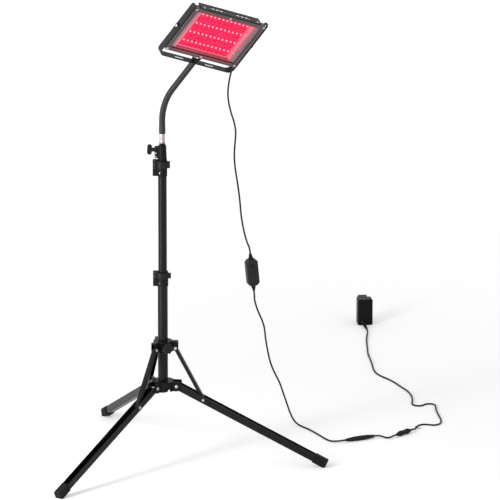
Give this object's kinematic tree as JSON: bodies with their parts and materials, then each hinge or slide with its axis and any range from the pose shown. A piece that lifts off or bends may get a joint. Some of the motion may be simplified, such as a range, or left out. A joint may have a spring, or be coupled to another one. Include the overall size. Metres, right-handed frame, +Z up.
{
  "type": "infrared therapy lamp",
  "caption": "Infrared heat therapy lamp: a tilting panel of red lamps on a gooseneck, a telescopic mast, a folding tripod, an in-line controller and a wall adapter.",
  "frame": {"origin": "on the floor, on the axis of the mast", "axes": "+Z up along the mast, +X along leg 1; the cord and the adapter lie behind and to the right, towards +X and +Y"},
  "size_m": [0.7648, 1.4974, 1.0641],
  "materials": {
    "powder_coat": "satin black powder coat",
    "moulding": "matt black moulded plastic",
    "lever": "matt black moulded plastic",
    "rubber": "black rubber",
    "steel": "bright zinc-plated steel",
    "chrome": "polished chrome",
    "neck_sleeve": "black sleeve over a flexible steel core",
    "panel_metal": "grey satin aluminium",
    "glass": "clear tempered glass",
    "reflector": "bright rolled aluminium",
    "board": "circuit board lit by its lamps",
    "led": "clear domed lamps, lit red",
    "cord": "black flexible cord jacket",
    "controller": "matt black moulded plastic",
    "adapter": "semi-gloss black moulded plastic"
  },
  "bodies": {
    "stand": {"hub": "moulding", "hub_pins": "steel", "mast_lower_tube": "powder_coat", "lower_lock_body": "moulding", "lower_lock_fasteners": "steel", "lamp_cord": "cord", "controller_front_shell": "controller", "controller_back_shell": "controller", "controller_reliefs": "rubber", "lower_cord": "cord", "splice_sleeve": "cord", "link_cord": "cord", "power_plug": "cord", "power_socket": "cord", "adapter_cord": "cord", "cord_tie": "cord", "adapter_front_shell": "adapter", "adapter_back_shell": "adapter", "adapter_pins": "steel", "adapter_boot": "rubber"},
    "leg_1": {"leg_1_channel": "powder_coat", "leg_1_foot": "rubber"},
    "leg_2": {"leg_2_channel": "powder_coat", "leg_2_foot": "rubber"},
    "leg_3": {"leg_3_channel": "powder_coat", "leg_3_foot": "rubber"},
    "brace_1": {"brace_1": "powder_coat"},
    "brace_2": {"brace_2": "powder_coat"},
    "brace_3": {"brace_3": "powder_coat"},
    "collar": {"collar": "moulding", "collar_fasteners": "steel"},
    "collar_knob": {"collar_knob": "lever"},
    "lower_lever": {"lower_lock_lever": "lever"},
    "middle_section": {"mast_middle_tube": "powder_coat", "upper_lock_body": "moulding", "upper_lock_fasteners": "steel"},
    "upper_lever": {"upper_lock_lever": "lever"},
    "top_section": {"mast_top_tube": "powder_coat", "spigot_socket": "moulding", "socket_screws": "steel"},
    "wing_knob": {"wing_knob": "lever"},
    "neck_base": {"spigot": "chrome", "neck_base": "neck_sleeve"},
    "neck_link_1": {"neck_link_1": "neck_sleeve"},
    "neck_link_2": {"neck_link_2": "neck_sleeve"},
    "bracket": {"neck_top": "neck_sleeve", "bracket": "powder_coat"},
    "bracket_wing_nut": {"bracket_wing_nut": "lever"},
    "panel": {"tilt_bolts": "steel", "panel_frame": "panel_metal", "panel_screws": "steel", "glass": "glass", "reflector_pan": "reflector", "led_board": "board", "led_array": "led", "rear_housing": "panel_metal", "terminal_box": "moulding", "cord_gland": "moulding", "top_rail": "panel_metal"},
    "button": {"controller_button": "controller"}
  },
  "joints": [
    {"name": "leg_1_fold", "type": "hinge", "parent": "stand", "child": "leg_1", "pos_m": [0.031, 0, 0.172], "axis": [0, -1, 0], "range_deg": [0, 116.6]},
    {"name": "brace_1_fold", "type": "hinge", "parent": "leg_1", "child": "brace_1", "pos_m": [0.09001, 0, 0.14245], "axis": [0, -1, 0], "range_deg": [-143.52, 0]},
    {"name": "leg_2_fold", "type": "hinge", "parent": "stand", "child": "leg_2", "pos_m": [-0.0155, -0.02685, 0.172], "axis": [-0.866, 0.5, 0], "range_deg": [0, 116.6]},
    {"name": "brace_2_fold", "type": "hinge", "parent": "leg_2", "child": "brace_2", "pos_m": [-0.04501, -0.07795, 0.14245], "axis": [-0.866, 0.5, 0], "range_deg": [-143.52, 0]},
    {"name": "leg_3_fold", "type": "hinge", "parent": "stand", "child": "leg_3", "pos_m": [-0.0155, 0.02685, 0.172], "axis": [0.866, 0.5, 0], "range_deg": [0, 116.6]},
    {"name": "brace_3_fold", "type": "hinge", "parent": "leg_3", "child": "brace_3", "pos_m": [-0.04501, 0.07795, 0.14245], "axis": [0.866, 0.5, 0], "range_deg": [-143.52, 0]},
    {"name": "collar_slide", "type": "slide", "parent": "stand", "child": "collar", "axis": [0, 0, 1], "range_m": [0, 0.1112]},
    {"name": "collar_knob_turn", "type": "hinge", "parent": "collar", "child": "collar_knob", "pos_m": [0.0115, -0.01992, 0.262], "axis": [0.5, -0.866, 0], "continuous": true},
    {"name": "lower_lever_flip", "type": "hinge", "parent": "stand", "child": "lower_lever", "pos_m": [-0.016, -0.0089, 0.4232], "axis": [0, 0, 1], "range_deg": [-110, 0]},
    {"name": "middle_slide", "type": "slide", "parent": "stand", "child": "middle_section", "axis": [0, 0, 1], "range_m": [-0.2, 0.01], "deforming": ["lamp_cord"]},
    {"name": "upper_lever_flip", "type": "hinge", "parent": "middle_section", "child": "upper_lever", "pos_m": [-0.016, -0.0089, 0.6737], "axis": [0, 0, 1], "range_deg": [-110, 0]},
    {"name": "top_slide", "type": "slide", "parent": "middle_section", "child": "top_section", "axis": [0, 0, 1], "range_m": [0, 0.23], "deforming": ["lamp_cord"]},
    {"name": "wing_knob_turn", "type": "hinge", "parent": "top_section", "child": "wing_knob", "pos_m": [-0.0168, 0, 0.705], "axis": [-1, 0, 0], "continuous": true},
    {"name": "neck_swivel", "type": "hinge", "parent": "top_section", "child": "neck_base", "pos_m": [0, 0, 0.721], "axis": [0, 0, 1], "range_deg": [-90, 90], "deforming": ["lamp_cord"]},
    {"name": "neck_bend_1", "type": "hinge", "parent": "neck_base", "child": "neck_link_1", "pos_m": [0, 0, 0.78333], "axis": [0.2672, 0.9636, 0], "range_deg": [-12.46, 17.53], "deforming": ["lamp_cord"]},
    {"name": "neck_bend_2", "type": "hinge", "parent": "neck_link_1", "child": "neck_link_2", "pos_m": [0.00554, -0.00154, 0.80935], "axis": [0.2672, 0.9636, 0], "range_deg": [-12.46, 17.53], "deforming": ["lamp_cord"]},
    {"name": "neck_bend_3", "type": "hinge", "parent": "neck_link_2", "child": "bracket", "pos_m": [0.01637, -0.00454, 0.83351], "axis": [0.2672, 0.9636, 0], "range_deg": [-12.46, 17.53], "deforming": ["lamp_cord"]},
    {"name": "bracket_nut_turn", "type": "hinge", "parent": "bracket", "child": "bracket_wing_nut", "pos_m": [0.07503, -0.02081, 0.91314], "axis": [0.5853, -0.1623, 0.7944], "continuous": true},
    {"name": "panel_tilt", "type": "hinge", "parent": "bracket", "child": "panel", "pos_m": [0.1198, -0.03322, 0.97391], "axis": [0.6592, 0.6657, -0.3497], "range_deg": [-90, 90], "deforming": ["lamp_cord"]},
    {"name": "button_press", "type": "slide", "parent": "stand", "child": "button", "axis": [-0.4776, 0.8766, 0.0586], "range_m": [0, 0.001], "stiffness_N_per_m": 500, "springref_m": -0.001}
  ],
  "couplings": [
    {"joint": "brace_1_fold", "follows": "leg_1_fold", "ratio": -1.2308},
    {"joint": "leg_2_fold", "follows": "leg_1_fold", "ratio": 1},
    {"joint": "brace_2_fold", "follows": "leg_1_fold", "ratio": -1.2308},
    {"joint": "leg_3_fold", "follows": "leg_1_fold", "ratio": 1},
    {"joint": "brace_3_fold", "follows": "leg_1_fold", "ratio": -1.2308},
    {"joint": "collar_slide", "follows": "leg_1_fold", "m_per_rad": 0.054596}
  ]
}
